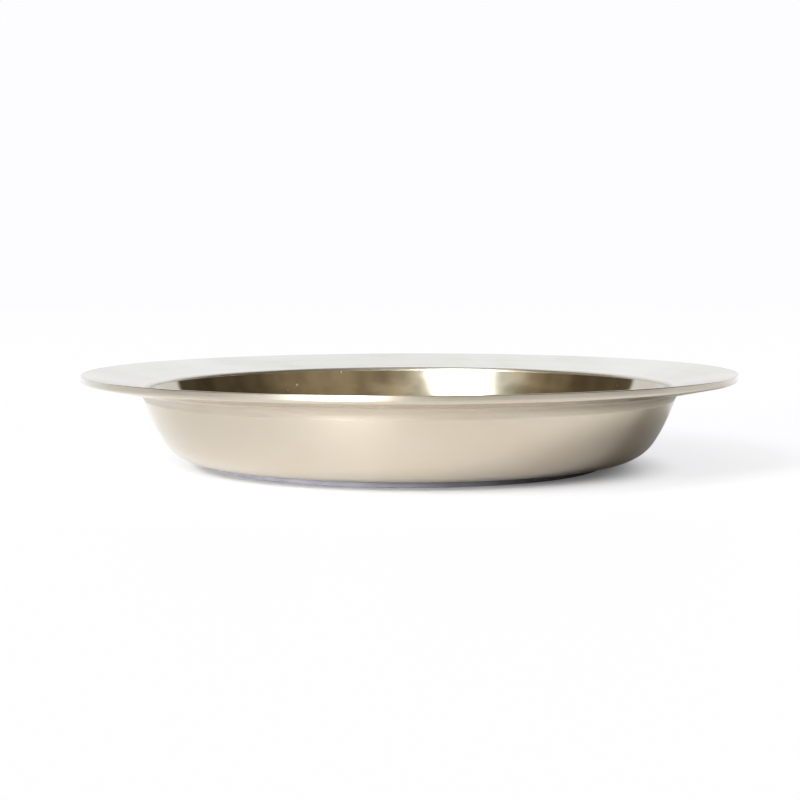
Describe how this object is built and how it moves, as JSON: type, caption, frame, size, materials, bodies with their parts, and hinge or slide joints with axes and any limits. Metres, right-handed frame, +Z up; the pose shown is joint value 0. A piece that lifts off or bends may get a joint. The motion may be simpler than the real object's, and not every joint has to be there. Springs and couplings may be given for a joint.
{
  "type": "nut dish",
  "caption": "Round shallow brass dish with a wide rim that slopes up to its edge, on a thin non-slip pad, for serving nuts and snacks.",
  "frame": {"origin": "centre of the pad's underside, on the surface that the dish stands on", "axes": "+Z up along the axis that the dish is round about; -Y faces the camera of the picture"},
  "size_m": [0.16, 0.16, 0.0231],
  "materials": {
    "dish_brass": "pale brass, satin outside and on the rim, polished inside the bowl",
    "pad_rubber": "matt grey, fine texture"
  },
  "bodies": {
    "root": {"dish_body": "dish_brass", "base_pad": "pad_rubber"}
  },
  "joints": []
}
